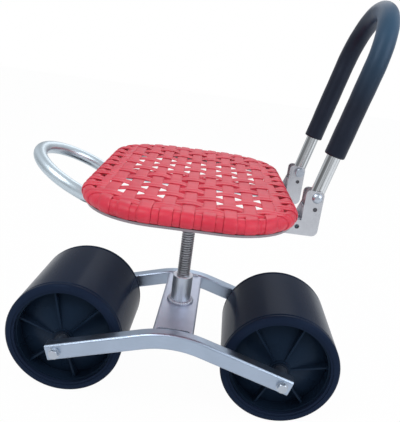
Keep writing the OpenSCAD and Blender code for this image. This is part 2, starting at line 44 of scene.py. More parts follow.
def turned(points):
    # seat frame to row frame: a turn about Z
    c, s = math.cos(seatTurn), math.sin(seatTurn)
    x, y, z = points[..., 0], points[..., 1], points[..., 2]
    return np.stack([x * c - y * s, x * s + y * c, z], -1)


def smooth(t):
    # 0 to 1 with flat ends: 3t^2 - 2t^3 on the clipped value
    t = np.clip(t, 0, 1)
    return t * t * (3 - 2 * t)


def makeMesh(name, grids, closedAlong=False, sharp=40):
    # each grid is [along, around, xyz] in mm; neighbours join as quads, open ends get a cap,
    # and a shell whose signed volume is negative has its faces turned round
    verts, faces, start = [], [], 0
    for grid in grids:
        along, around, _ = grid.shape
        ids = np.arange(along * around).reshape(along, around) + start
        rows = np.vstack([ids, ids[:1]]) if closedAlong else ids
        rows = np.hstack([rows, rows[:, :1]])
        quads = np.stack([rows[:-1, :-1], rows[1:, :-1], rows[1:, 1:], rows[:-1, 1:]], -1).reshape(-1, 4)
        flat = grid.reshape(-1, 3)
        a, b, c, d = (flat[quads[:, k] - start] for k in range(4))
        middle = flat.mean(0)
        volume = np.einsum("ij,ij->", a - middle, np.cross(b - middle, c - middle))
        volume += np.einsum("ij,ij->", a - middle, np.cross(c - middle, d - middle))
        part = quads.tolist()
        if not closedAlong:
            part += [ids[0].tolist(), ids[-1][::-1].tolist()]
        if volume < 0:
            part = [face[::-1] for face in part]
        verts.append(flat)
        faces += part
        start += along * around
    mesh = bpy.data.meshes.new(name)
    mesh.from_pydata((np.concatenate(verts) * mm).tolist(), [], faces)
    mesh.polygons.foreach_set("use_smooth", np.ones(len(mesh.polygons), dtype=bool))
    mesh.set_sharp_from_angle(angle=math.radians(sharp))
    mesh.update()
    piece = bpy.data.objects.new(name, mesh)
    bpy.context.scene.collection.objects.link(piece)
    return piece


class Sock:
    # a shader value that takes part in Python sums; each operator adds one Math node
    def __init__(self, book, out):
        self.book, self.out = book, out

    def maths(self, operation, other=0.5, swap=False):
        one, two = (other, self) if swap else (self, other)
        return self.book.node("ShaderNodeMath", {"operation": operation}, {0: one, 1: two})

    def __add__(self, other): return self.maths("ADD", other)
    def __radd__(self, other): return self.maths("ADD", other, True)
    def __sub__(self, other): return self.maths("SUBTRACT", other)
    def __rsub__(self, other): return self.maths("SUBTRACT", other, True)
    def __mul__(self, other): return self.maths("MULTIPLY", other)
    def __rmul__(self, other): return self.maths("MULTIPLY", other, True)
    def __truediv__(self, other): return self.maths("DIVIDE", other)
    def __rtruediv__(self, other): return self.maths("DIVIDE", other, True)
    def __pow__(self, other): return self.maths("POWER", other)
    def above(self, other): return self.maths("GREATER_THAN", other)
    def most(self, other): return self.maths("MAXIMUM", other)
    def size(self): return self.maths("ABSOLUTE")
    def clip(self): return self.maths("MAXIMUM", 0.0).maths("MINIMUM", 1.0)


class Book:
    # one material's node tree
    def __init__(self, name):
        self.material = bpy.data.materials.new(name)
        self.material.use_nodes = True
        self.tree = self.material.node_tree
        self.shader = self.tree.nodes["Principled BSDF"]

    def node(self, kind, settings=None, values=None, out=0):
        made = self.tree.nodes.new(kind)
        for key, value in (settings or {}).items():
            setattr(made, key, value)
        for key, value in (values or {}).items():
            self.feed(made.inputs[key], value)
        return Sock(self, made.outputs[out])

    def feed(self, socket, value):
        # a value that varies is linked, any other is set directly
        if isinstance(value, Sock):
            self.tree.links.new(value.out, socket)
        elif isinstance(value, tuple) and len(value) == 3 and socket.type == "RGBA":
            socket.default_value = (*value, 1)
        else:
            socket.default_value = value

    def place(self, scale=(1, 1, 1), turn=(0, 0, 0)):
        # object coordinates, turned and then stretched by scale
        spot = self.node("ShaderNodeTexCoord", out=3)
        spot = self.node("ShaderNodeMapping", {}, {"Vector": spot, "Rotation": turn})
        return self.node("ShaderNodeMapping", {}, {"Vector": spot, "Scale": scale})

    def noise(self, size, detail=4, rough=0.55, stretch=(1, 1, 1), turn=(0, 0, 0)):
        # noise whose largest lumps are about size metres
        return self.node("ShaderNodeTexNoise", {}, {"Vector": self.place(stretch, turn), "Scale": 1 / size,
            "Detail": detail, "Roughness": rough})

    def axes(self):
        # the three object coordinates, each as a value
        split = self.node("ShaderNodeSeparateXYZ", {}, {0: self.node("ShaderNodeTexCoord", out=3)})
        return [Sock(self, out) for out in split.out.node.outputs]

    def mix(self, factor, one, two):
        # colour one where factor is 0, colour two where it is 1
        return self.node("ShaderNodeMix", {"data_type": "RGBA"}, {0: factor, 6: one, 7: two}, out=2)

    def bump(self, height, depth):
        # a height of 0 to 1 taken as depth metres
        return self.node("ShaderNodeBump", {}, {"Strength": 1.0, "Distance": depth, "Height": height})

    def finish(self, **sockets):
        # values of the Principled shader's sockets, whose names have spaces for underscores
        for key, value in sockets.items():
            self.feed(self.shader.inputs[key.replace("_", " ")], value)
        return self.material


def scaled(colour, share):
    return tuple(v * share for v in colour)


# painted reflection and glow: this red is laid on the steel's colour and sent out as faint Emission where
# the seat's red light would fall
paintedSeatGlow = (0.6, 0.06, 0.1)     # the red that the woven seat throws on the steel under it
# in these four, lump sizes and bump depths are in metres, the rest are shares and rates
steelMix = {"rub": 0.004, "cloudShare": 0.65, "lineShare": 0.35, "contrast": 2.2, "offset": 0.6,
    "cloudRough": 0.1, "rubRough": 0.04, "lineBump": 0.6, "rubBump": 0.4, "longways": 0.01,
    "drawnContrast": 9, "drawnShare": 0.8, "drawnTone": 0.25, "levelEdge": 1500, "endEdge": 100}


def steel(name, look):
    # rolled stainless: fine lines along one way, soft cloudy stains, and small rub marks
    book = Book(name)
    lines = book.noise(look["line"], 3, 0.6, look["stretch"])
    cloud = book.noise(look["cloud"], 3, 0.5)
    rub = book.noise(steelMix["rub"], 2, 0.5)
    tone = (cloud * steelMix["cloudShare"] + lines * steelMix["lineShare"]).clip()
    dark = scaled(look["colour"], 1 - look["stain"])
    base = book.mix((tone * steelMix["contrast"] - steelMix["offset"]).clip(), dark, look["colour"])
    rough = look["rough"] + (lines - 0.5) * look["streak"] + (cloud - 0.5) * steelMix["cloudRough"] \
        + (rub - 0.5) * steelMix["rubRough"]
    if "drawn" in look:
        # painted reflection: dark stripes along a tube that leans back, standing in for the dark bands it
        # reflects
        along = (1, 1, steelMix["longways"])
        drawn = book.noise(look["drawn"], 2, 0.5, along, (0, -math.radians(look["lean"]), 0))
        paintedStripes = ((drawn - 0.5) * steelMix["drawnContrast"]).clip() * steelMix["drawnShare"]
        base = book.mix(paintedStripes, base, scaled(look["colour"], steelMix["drawnTone"]))
    if "under" in look:
        # painted reflection and glow: the upper side, under the woven seat, gets the seat's red in its
        # colour and a faint red Emission
        low, reach = look["under"]
        x, y, z = book.axes()
        red = ((z - low) * steelMix["levelEdge"]).clip() * ((reach - x.size()) * steelMix["endEdge"]).clip()
        if "bore" in look:
            gauge, middle, radius = look["bore"]
            across = (y - x * math.tan(seatTurn)).size() - gauge
            red = red * (across ** 2 + (z - middle) ** 2).above(radius ** 2)
        base = book.mix(red, base, paintedSeatGlow)
        book.finish(Emission_Color=book.mix(red, (0.0, 0.0, 0.0), paintedSeatGlow),
            Emission_Strength=look["paintedGlow"])
    return book.finish(Base_Color=base, Metallic=1.0, Roughness=rough.clip(),
        Normal=book.bump(lines * steelMix["lineBump"] + rub * steelMix["rubBump"], look["depth"]))


plasticMix = {"swirl": 0.05, "swirlStretch": (1, 0.35, 1), "grain": 0.0007, "scuff": 0.012,
    "scuffStretch": (1, 3, 1), "wornFrom": 0.62, "wornRate": 5, "wornShare": 0.35, "shade": 0.75,
    "dust": 0.018, "swirlRough": 0.12, "wornRough": 0.16, "grainBump": 0.1, "swirlBump": 0.9,
    "depth": 0.00006}


def blackPlastic(name, look):
    # moulded plastic: faint swirl of the melt, fine grain, and dusty scuffs
    book = Book(name)
    swirl = book.noise(plasticMix["swirl"], 3, 0.5, plasticMix["swirlStretch"])
    grain = book.noise(plasticMix["grain"], 2, 0.6)
    scuff = book.noise(plasticMix["scuff"], 6, 0.7, plasticMix["scuffStretch"])
    worn = ((scuff - plasticMix["wornFrom"]) * plasticMix["wornRate"]).clip()
    dusty = tuple(v + plasticMix["dust"] for v in look["colour"])
    melt = book.mix(swirl, scaled(look["colour"], plasticMix["shade"]), look["colour"])
    base = book.mix(worn * plasticMix["wornShare"], melt, dusty)
    rough = look["rough"] + (swirl - 0.5) * plasticMix["swirlRough"] + worn * plasticMix["wornRough"]
    height = grain * plasticMix["grainBump"] + swirl * plasticMix["swirlBump"]
    return book.finish(Base_Color=base, Roughness=rough.clip(), Specular_IOR_Level=look["shine"],
        Specular_Tint=look["tint"], Normal=book.bump(height, plasticMix["depth"]))


vinylMix = {"drawn": 0.0009, "cloud": 0.03, "smear": 0.008, "rubFrom": 0.55, "rubRate": 3, "rubShare": 0.4,
    "smearRough": 0.2, "drawnRough": 0.08, "drawnBump": 0.4, "smearBump": 0.6, "depth": 0.0002,
    "scatter": (1.0, 0.2, 0.15)}


def vinylRed(name, look):
    # soft vinyl strap: fine drawn lines and clouded colour, paler where it has been rubbed
    book = Book(name)
    drawn = book.noise(vinylMix["drawn"], 3, 0.6)
    cloud = book.noise(vinylMix["cloud"], 3, 0.5)
    smear = book.noise(vinylMix["smear"], 4, 0.6)
    rubbed = ((smear - vinylMix["rubFrom"]) * vinylMix["rubRate"]).clip() * vinylMix["rubShare"]
    base = book.mix(rubbed, book.mix(cloud, look["deep"], look["colour"]), look["rubbed"])
    rough = look["rough"] + (smear - 0.5) * vinylMix["smearRough"] + (drawn - 0.5) * vinylMix["drawnRough"]
    return book.finish(Base_Color=base, Specular_IOR_Level=look["shine"], Roughness=rough.clip(),
        Subsurface_Weight=look["soft"], Subsurface_Radius=vinylMix["scatter"],
        Subsurface_Scale=look["softDepth"],
        Normal=book.bump(drawn * vinylMix["drawnBump"] + smear * vinylMix["smearBump"], vinylMix["depth"]))


# "pores" is their number in a metre
foamMix = {"pores": 1400.0, "cloud": 0.04, "shade": 0.6, "fade": 1.3, "paintedSheenLeast": 0.75, "paintedSheenCloud": 0.5,
    "cloudRough": 0.2, "sheen": 0.05, "sheenRough": 0.5, "sheenTint": (0.5, 0.6, 1.0, 1.0),
    "poreBump": 0.5, "cloudBump": 0.5, "depth": 0.0002}


def foamBlack(name, look):
    # closed-cell foam: fine open pores in a matte skin, clouded in tone, with a painted grey-blue sheen
    # round one spot
    book = Book(name)
    pores = book.node("ShaderNodeTexVoronoi", {}, {"Vector": book.place(), "Scale": foamMix["pores"]})
    cloud = book.noise(foamMix["cloud"], 3, 0.5)
    base = book.mix(cloud, scaled(look["colour"], foamMix["shade"]), look["colour"])
    # painted sheen: round one spot on the loop's left shoulder the skin is lightened to grey-blue, standing
    # in for a highlight
    spread = sum((axis - middle) ** 2 for axis, middle in zip(book.axes(), look["spot"])) ** 0.5
    paintedSheen = (1 - spread / look["reach"]).clip() ** foamMix["fade"]
    base = book.mix(paintedSheen * (foamMix["paintedSheenLeast"] + cloud * foamMix["paintedSheenCloud"]), base, look["paintedSheenColour"])
    return book.finish(Base_Color=base, Specular_IOR_Level=look["shine"], Specular_Tint=look["tint"],
        Roughness=(look["rough"] + (cloud - 0.5) * foamMix["cloudRough"]).clip(),
        Sheen_Weight=foamMix["sheen"], Sheen_Roughness=foamMix["sheenRough"],
        Sheen_Tint=foamMix["sheenTint"],
        Normal=book.bump(pores * foamMix["poreBump"] + cloud * foamMix["cloudBump"], foamMix["depth"]))


looks = {
    "frame": {"colour": (0.42, 0.5, 0.62), "rough": 0.34, "streak": 0.14, "line": 0.0015, "cloud": 0.035,
        "stretch": (0.12, 1, 1), "stain": 0.14, "depth": 0.00006},
    "plate": {"colour": (0.5, 0.54, 0.65), "rough": 0.44, "streak": 0.14, "line": 0.0012, "cloud": 0.02,
        "stretch": (1, 0.12, 1), "stain": 0.16, "depth": 0.00006},
    # the hoop's dark reddish grey is painted: it stands in for the red seat and the shade the steel reflects
    "hoop": {"colour": (0.32, 0.27, 0.3), "rough": 0.3, "streak": 0.1, "line": 0.0012, "cloud": 0.02,
        "stretch": (1, 1, 1), "stain": 0.2, "depth": 0.00004},
    "tube": {"colour": (0.58, 0.66, 0.72), "rough": 0.34, "streak": 0.04, "line": 0.0016, "cloud": 0.05,
        "stretch": (1, 1, 0.15), "stain": 0.1, "depth": 0.000004,
        # the last three entries paint the seat's red reflection and a faint red glow on the upper side
        "under": (0.3122, 0.12), "bore": (0.079, 0.3189, 0.0088), "paintedGlow": 0.35},
    # this dark grey stands in for the shade inside the brackets' spare holes
    "cap": {"colour": (0.13, 0.13, 0.145), "rough": 0.5, "streak": 0.1, "line": 0.001, "cloud": 0.004,
        "stretch": (1, 1, 1), "stain": 0.4, "depth": 0.00003},
    "sleeve": {"colour": (0.78, 0.84, 0.92), "rough": 0.46, "streak": 0.12, "line": 0.0014, "cloud": 0.02,
        "stretch": (1, 1, 0.15), "stain": 0.2, "depth": 0.00005},
    "head": {"colour": (0.36, 0.38, 0.46), "rough": 0.42, "streak": 0.14, "line": 0.0012, "cloud": 0.02,
        "stretch": (1, 0.12, 1), "stain": 0.16, "depth": 0.00006,
        # the last two entries paint the seat's red reflection and a faint red glow on the top face
        "under": (0.3086, 0.2), "paintedGlow": 0.45},
    "back": {"colour": (0.7, 0.72, 0.74), "rough": 0.14, "streak": 0.04, "line": 0.0016, "cloud": 0.05,
        # drawn and lean set the painted dark reflection stripes
        "stretch": (1, 1, 0.15), "stain": 0.1, "depth": 0.000004, "drawn": 0.0045, "lean": 13.3},
    "sheet": {"colour": (0.58, 0.59, 0.63), "rough": 0.3, "streak": 0.1, "line": 0.001, "cloud": 0.02,
        "stretch": (1, 1, 0.15), "stain": 0.2, "depth": 0.00005},
    "bolt": {"colour": (0.5, 0.55, 0.62), "rough": 0.33, "streak": 0.1, "line": 0.0008, "cloud": 0.01,
        "stretch": (1, 1, 1), "stain": 0.15, "depth": 0.00005},
    "screw": {"colour": (0.42, 0.43, 0.46), "rough": 0.36, "streak": 0.14, "line": 0.001, "cloud": 0.012,
        "stretch": (1, 1, 0.3), "stain": 0.45, "depth": 0.00006},
    "weld": {"colour": (0.46, 0.49, 0.57), "rough": 0.4, "streak": 0.2, "line": 0.002, "cloud": 0.006,
        "stretch": (1, 1, 1), "stain": 0.3, "depth": 0.00012},
    "seatWeld": {"colour": (0.46, 0.49, 0.57), "rough": 0.4, "streak": 0.2, "line": 0.002, "cloud": 0.006,
        # the last two entries paint the seat's red reflection and a faint red glow on the upper side
        "stretch": (1, 1, 1), "stain": 0.3, "depth": 0.00012, "under": (0.3086, 0.06), "paintedGlow": 0.45},
    "wheel": {"colour": (0.012, 0.02, 0.042), "rough": 0.21, "shine": 0.035, "tint": (0.45, 0.65, 1.0, 1.0)},
    "disc": {"colour": (0.008, 0.016, 0.032), "rough": 0.28, "shine": 0.1, "tint": (0.45, 0.7, 1.0, 1.0)},
    "bush": {"colour": (0.008, 0.013, 0.024), "rough": 0.45, "shine": 0.12, "tint": (0.7, 0.85, 1.0, 1.0)},
    "foam": {"colour": (0.011, 0.013, 0.022), "rough": 0.38, "shine": 0.24, "tint": (0.6, 0.75, 1.0, 1.0),
        # the last three entries colour and place the painted sheen
        "paintedSheenColour": (0.035, 0.085, 0.145), "spot": (0.243, -0.05, 0.588), "reach": 0.12},
    "strap": {"colour": (0.66, 0.038, 0.07), "deep": (0.48, 0.02, 0.044), "rubbed": (0.74, 0.1, 0.135),
        "rough": 0.42, "shine": 0.3, "soft": 0.25, "softDepth": 0.002}}
frameSteel = steel("frame steel", looks["frame"])
plateSteel = steel("plate steel", looks["plate"])
hoopSteel = steel("hoop steel", looks["hoop"])
tubeSteel = steel("tube steel", looks["tube"])
holeShadeSteel = steel("cap steel", looks["cap"])
backSteel = steel("backrest steel", looks["back"])
sleeveSteel = steel("sleeve steel", looks["sleeve"])
headSteel = steel("head plate steel", looks["head"])
sheetSteel = steel("sheet steel", looks["sheet"])
boltSteel = steel("bolt steel", looks["bolt"])
screwSteel = steel("screw steel", looks["screw"])
weldSteel = steel("weld steel", looks["weld"])
seatWeldSteel = steel("seat weld steel", looks["seatWeld"])
wheelBlack = blackPlastic("wheel plastic", looks["wheel"])
discBlack = blackPlastic("disc plastic", looks["disc"])
bushBlack = blackPlastic("bush plastic", looks["bush"])
strapRed = vinylRed("strap vinyl", looks["strap"])
foamSkin = foamBlack("foam skin", looks["foam"])
print("materials made")


def dress(piece, material):
    piece.data.materials.clear()
    piece.data.materials.append(material)
    return piece


finishes = {"beam": frameSteel, "cross_plate": plateSteel, "screw_sleeve": sleeveSteel,
    "sleeve_weld": weldSteel, "axle": boltSteel, "washer": boltSteel, "spacer": boltSteel,
    "drum": wheelBlack, "disc": discBlack, "bush": bushBlack, "screw": screwSteel,
    "head_plate": headSteel, "handle_rail": tubeSteel, "seat_frame": frameSteel, "seat_hoop": hoopSteel,
    "hoop_pad": hoopSteel, "edge_wrap": strapRed, "straps": strapRed, "bracket": sheetSteel,
    "pivot": boltSteel, "backrest_tube": backSteel, "backrest_foam": foamSkin}
for nodeName, piece in nodes.items():
    # the longest start of a node's name that is listed gives its finish
    key = max((k for k in finishes if nodeName.startswith(k)), key=len)
    for held in piece.material_slots:
        held.material = finishes[key]
    if not piece.material_slots:
        piece.data.materials.append(finishes[key])

# sizes in mm; the straps lie on radius "wrap" over the frame's tube and "under" below it, and
# nothing of the weave goes lower than "restZ", just over the hoop
seat = {"halfLen": 130.5, "halfWide": 200.0, "corner": 89.5, "height": 343.0, "forward": 2.4,
    "ring": 9.1, "cornerRing": 9.3, "wrap": 9.75, "under": 8.72, "thick": 1.26, "crown": 0.26, "sag": 3.0,
    "crossWide": 16.2, "crossPitch": 24.7, "crossCount": 9, "crossWave": 0.5,
    "longWide": 9.3, "longPitch": 31.7, "longCount": 11, "longWave": 1.0, "pairGap": 0.15,
    "edgeStrap": 11.4, "edgeAt": 112.6, "endPairAt": 182.6, "outerWide": 12.8, "outerTilt": 1.6,
    "tuck": 5, "sink": 2.2, "sinkShare": 0.07, "gather": 0.93, "gatherLen": 26, "rimStart": 3, "rimLen": 12,
    "lift": 0.2, "restZ": 333.68, "seed": 11}
# how a strap's section and its way round the tube are drawn, angles in degrees
strapDraw = {"around": 18, "sideCurve": 0.4, "thickCurve": 0.7, "crownLevel": 0.4, "crossSteps": 190,
    "longSteps": 124, "wrapSteps": 58, "wrapFrom": 90, "wrapTo": -214, "lowFrom": 35, "lowSpan": 55,
    "lowThin": 0.25}
# lowest and highest random drift, drift length, phase and tilt of a strap
sway = {"cross": (0.15, 0.4), "long": (0.05, 0.16), "run": (9, 16), "phase": (0, 6.28), "tilt": (0.2, 0.6),
    "edge": (0.1, 12, 0, 0.2)}
rng = np.random.default_rng(seat["seed"])


def ringLine(steps):
    # rounded rectangle walked at even steps: place, outward normal
    hx, hy, r = seat["halfLen"], seat["halfWide"], seat["corner"]
    a, b, q = 2 * (hx - r), 2 * (hy - r), math.pi * r / 2
    ends = np.cumsum([0, b, q, a, q, b, q, a, q])
    s = np.linspace(0, ends[-1], steps, endpoint=False)
    leg = np.searchsorted(ends, s, "right") - 1
    along = s - ends[leg]
    corner = np.array([[hx, -hy + r], [hx - r, hy - r], [hx - r, hy], [-hx + r, hy - r],
        [-hx, hy - r], [-hx + r, -hy + r], [-hx + r, -hy], [hx - r, -hy + r]])
    way = np.array([[0, 1], [0, 0], [-1, 0], [0, 0], [0, -1], [0, 0], [1, 0], [0, 0]])
    face = np.array([0, 0, 90, 90, 180, 180, 270, 270])
    bent = leg % 2 == 1
    angle = np.radians(face[leg]) + np.where(bent, along / r, 0)
    out = np.stack([np.cos(angle), np.sin(angle)], -1)
    place = corner[leg] + way[leg] * along[:, None] + np.where(bent[:, None], out * r, 0)
    return place, out


def ringDistance(x, y):
    # signed plan distance from the frame tube's middle line, positive outside
    qx = np.abs(x) - (seat["halfLen"] - seat["corner"])
    qy = np.abs(y) - (seat["halfWide"] - seat["corner"])
    outside = np.hypot(np.maximum(qx, 0), np.maximum(qy, 0))
    return outside + np.minimum(np.maximum(qx, qy), 0) - seat["corner"]


wound = {"crown": 0.32, "crownFall": 0.4, "groove": 0.6, "grooveWide": 0.55, "fadeLen": 3,
    "lastLong": 107.5, "lastEnd": 168.5, "steps": 1600, "around": 44}


def woundRadius(spot, pitch, wide, last, slope):
    # turns of strap between the crossing straps: a parabola crowns each turn, and a bell curve
    # sinks a groove at each of its edges
    gap = pitch - wide
    off = np.abs((spot / pitch) % 1 - 0.5) * pitch      # distance from the middle of the gap
    crown = wound["crown"] * np.maximum(1 - (2 * off / gap) ** 2, -wound["crownFall"])
    joint = wound["groove"] * np.exp(-(np.abs(off - gap / 2) / slope / wound["grooveWide"]) ** 2)
    inRow = smooth((last - np.abs(spot)) / wound["fadeLen"])
    return seat["cornerRing"] + (seat["ring"] - seat["cornerRing"] + crown - joint) * inRow


def edgeWrap():
    # tube round the frame, whose radius follows the wound turns of strap; corners are smooth
    place, out = ringLine(wound["steps"])
    x, y = place[:, 0], place[:, 1]
    onLong = np.abs(out[:, 1]) > np.abs(out[:, 0])
    slope = np.where(onLong, np.abs(out[:, 1]), np.abs(out[:, 0]))
    crossWide = seat["crossWide"] * seat["gather"]
    pairWide = (2 * seat["longWide"] + seat["pairGap"]) * seat["gather"]
    radius = np.where(onLong, woundRadius(x, seat["crossPitch"], crossWide, wound["lastLong"], slope),
        woundRadius(y, seat["longPitch"], pairWide, wound["lastEnd"], slope))
    turn = np.linspace(0, 2 * np.pi, wound["around"], endpoint=False)
    away = radius[:, None] * np.cos(turn)
    up = radius[:, None] * np.sin(turn)
    grid = np.stack([x[:, None] + out[:, :1] * away - seat["forward"], y[:, None] + out[:, 1:] * away,
        np.maximum(seat["height"] + up, seat["restZ"])], -1)
    return makeMesh("edgeWrap", [turned(grid)], closedAlong=True)


def strapSection(wide):
    # half sides of a flat, round-cornered and crowned section, and its height above the strap's middle
    turn = np.linspace(0, 2 * np.pi, strapDraw["around"], endpoint=False)
    side = wide / 2 * np.sign(np.cos(turn)) * np.abs(np.cos(turn)) ** strapDraw["sideCurve"]
    thick = seat["thick"] / 2 * np.sign(np.sin(turn)) * np.abs(np.sin(turn)) ** strapDraw["thickCurve"]
    return side, thick + seat["crown"] * (strapDraw["crownLevel"] - (2 * side / wide) ** 2)


def strapGrid(middle, wide, across, sign, drift, wraps=True, lower=(0, 0)):
    # one strap: its section carried across the frame, rising and dipping over and under the straps
    # that cross it as a flattened cosine, 1.5c - 0.5c^3, then round the tube and up inside it
    side, thick = strapSection(wide)
    hMain, hOther = (seat["halfWide"], seat["halfLen"]) if across else (seat["halfLen"], seat["halfWide"])
    r = seat["corner"]
    lateral = np.maximum(np.abs(middle + side) - (hOther - r), 0)

    def reach(away):
        # half length to the tube's line shifted outwards by away; none left past the corner's end
        return hMain - r + np.sqrt(np.maximum((r + away) ** 2 - lateral ** 2, 0))

    t = np.linspace(-1, 1, strapDraw["crossSteps"] if across else strapDraw["longSteps"])[:, None]
    main = t * reach(0 if wraps else -seat["tuck"])
    ease = smooth((1 - np.abs(t)) * hMain / seat["gatherLen"])
    narrow = seat["gather"] + (1 - seat["gather"]) * ease if wraps else 1 + 0 * ease
    other = middle + side * narrow + drift[0] * np.sin(main / drift[1] + drift[2]) * ease
    x, y = (other, main) if across else (main, other)
    inside = smooth((-ringDistance(x, y) - seat["rimStart"]) / seat["rimLen"])
    pitch = seat["longPitch"] if across else seat["crossPitch"]
    wave = np.cos(np.pi * main / pitch)
    wave = wave * (1.5 - 0.5 * wave ** 2) * (seat["crossWave"] if across else seat["longWave"])
    sag = seat["sag"] * (1 - (x / seat["halfLen"]) ** 2) * (1 - (y / seat["halfWide"]) ** 2)
    tilt = drift[3] * side / wide * np.sin(main / pitch * np.pi + drift[2]) * inside
    ends = smooth((np.abs(t) - 1 + seat["sinkShare"]) / seat["sinkShare"])
    sink = 0 if wraps else seat["sink"] * ends
    z = seat["height"] + seat["wrap"] + inside * (sign * wave + seat["lift"]) + tilt
    z = z - np.maximum(sag, 0) * inside - sink + thick - lower[0] - lower[1] * side / wide
    rows = [np.stack([x, y, z], -1)]
    if wraps:
        angle = np.radians(np.linspace(strapDraw["wrapFrom"], strapDraw["wrapTo"], strapDraw["wrapSteps"]))
        angle = angle[1:, None]
        low = smooth((-angle - math.radians(strapDraw["lowFrom"])) / math.radians(strapDraw["lowSpan"]))
        rho = seat["wrap"] + (seat["under"] - seat["wrap"]) * low + thick * (1 - strapDraw["lowThin"] * low)
        away, up = rho * np.cos(angle), seat["height"] + rho * np.sin(angle)
        end = reach(away)
        flat = middle + side * seat["gather"] + 0 * angle
        up = np.maximum(up, seat["restZ"])
        right = np.stack([flat, end, up] if across else [end, flat, up], -1)
        left = right * (np.array([1, -1, 1]) if across else np.array([-1, 1, 1]))
        rows = [left[::-1], rows[0], right]
    return turned(np.concatenate(rows) - np.array([seat["forward"], 0, 0]))


def randomDrift(amount):
    # sideways drift, its length, its phase, and how far the strap tilts
    return tuple(rng.uniform(*span) for span in (amount, sway["run"], sway["phase"], sway["tilt"]))


def wovenStraps():
    crosswise, lengthwise = [], []
    for k in range(-(seat["crossCount"] // 2), seat["crossCount"] // 2 + 1):
        crosswise.append(strapGrid(k * seat["crossPitch"], seat["crossWide"], True, (-1) ** k,
            randomDrift(sway["cross"])))
    for place in (-seat["edgeAt"], seat["edgeAt"]):
        crosswise.append(strapGrid(place, seat["edgeStrap"], True, -1, sway["edge"], wraps=False))
    pairs = [(k * seat["longPitch"], -(-1) ** k, True)
        for k in range(-(seat["longCount"] // 2), seat["longCount"] // 2 + 1)]
    pairs += [(-seat["endPairAt"], -1, False), (seat["endPairAt"], -1, False)]
    for place, sign, wraps in pairs:
        for side in (-1, 1):
            # beside the tube the outer strap is wider and leans down onto it
            outer = not wraps and side * place > 0
            wide = seat["outerWide"] if outer else seat["longWide"]
            middle = place + side * (wide + seat["pairGap"]) / 2
            tilt = side * seat["outerTilt"] if outer else 0
            lengthwise.append(strapGrid(middle, wide, False, sign, randomDrift(sway["long"]), wraps,
                (abs(tilt) / 2, tilt)))
    return makeMesh("wovenCrosswise", crosswise), makeMesh("wovenLengthwise", lengthwise)


edge = dress(edgeWrap(), strapRed)
woven = [dress(piece, strapRed) for piece in wovenStraps()]
for piece, node in zip([edge] + woven, ["edge_wrap", "straps_crosswise", "straps_lengthwise"]):
    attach(piece, "seat")
    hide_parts(node)
print("woven seat made")

# mm along the leaning backrest; "wave" and "ripple" are height, length and phase
foam = {"pivotX": 165.516, "pivotZ": 361.2, "lean": 13.3, "start": 59.0, "straight": 178.0, "half": 79.0,
    "radius": 14.0, "tube": 9.55, "lip": 2.6, "slack": 0.12, "wave": (0.1, 13, 0), "ripple": (0.06, 4.7, 1),
    "inset": 3, "clear": 1, "legSteps": 60, "bendSteps": 90, "lipSteps": 9, "around": 40,
    "sharp": 60}


def foamSleeve():
    # a circle carried up one leg, over the loop's half circle and down the other; two sines swell
    # its radius, and at both ends it rolls inwards in a quarter ellipse
    rise = np.linspace(foam["start"], foam["straight"], foam["legSteps"])
    up = np.stack([0 * rise - foam["half"], rise], -1)
    arc = np.linspace(np.pi, 0, foam["bendSteps"])[1:-1]
    over = np.stack([foam["half"] * np.cos(arc), foam["straight"] + foam["half"] * np.sin(arc)], -1)
    down = up[::-1] * [-1, 1]
    line = np.concatenate([up, over, down])
    tangent = np.gradient(line, axis=0)
    tangent /= np.linalg.norm(tangent, axis=1)[:, None]
    normal = np.stack([-tangent[:, 1], tangent[:, 0]], -1)
    run = np.concatenate([[0], np.cumsum(np.linalg.norm(np.diff(line, axis=0), axis=1))])
    radius = foam["radius"] - foam["slack"]
    for height, length, phase in (foam["wave"], foam["ripple"]):
        radius = radius + height * np.sin(run / length + phase)
    lip = np.linspace(0, np.pi / 2, foam["lipSteps"])
    ring = foam["radius"] - foam["lip"] * (1 - np.sin(lip))
    inner = np.array([foam["tube"], foam["tube"], (foam["tube"] + foam["radius"] - foam["lip"]) / 2])
    start = np.concatenate([inner, ring])
    shift = np.concatenate([[foam["inset"], 0, 0], foam["lip"] * (1 - np.cos(lip))])
    cap0 = line[0] + tangent[0] * shift[:, None]
    capN = line[-1] - tangent[-1] * shift[:, None]
    past = foam["lip"] + foam["clear"]
    keep = (run > past) & (run < run[-1] - past)
    line = np.concatenate([cap0, line[keep], capN[::-1]])
    first, last = (np.tile(normal[end], (len(start), 1)) for end in (0, -1))
    normal = np.concatenate([first, normal[keep], last])
    radius = np.concatenate([start, radius[keep], start[::-1]])
    turn = np.linspace(0, 2 * np.pi, foam["around"], endpoint=False)
    y = line[:, :1] + normal[:, :1] * radius[:, None] * np.cos(turn)
    h = line[:, 1:] + normal[:, 1:] * radius[:, None] * np.cos(turn)
    d = radius[:, None] * np.sin(turn)
    lean = math.radians(foam["lean"])
    x = foam["pivotX"] + h * math.sin(lean) + d * math.cos(lean)
    z = foam["pivotZ"] + h * math.cos(lean) - d * math.sin(lean)
    return makeMesh("foamSleeve", [turned(np.stack([x, y, z], -1))], sharp=foam["sharp"])


sleeve = dress(foamSleeve(), foamSkin)
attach(sleeve, "backrest")
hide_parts("backrest_foam")
print("foam sleeve made")

plug = {"x": 165.516, "z": 345.2, "gauge": 79.0, "radius": 2.96, "inner": 9.95, "outer": 10.9,
    "around": 24}


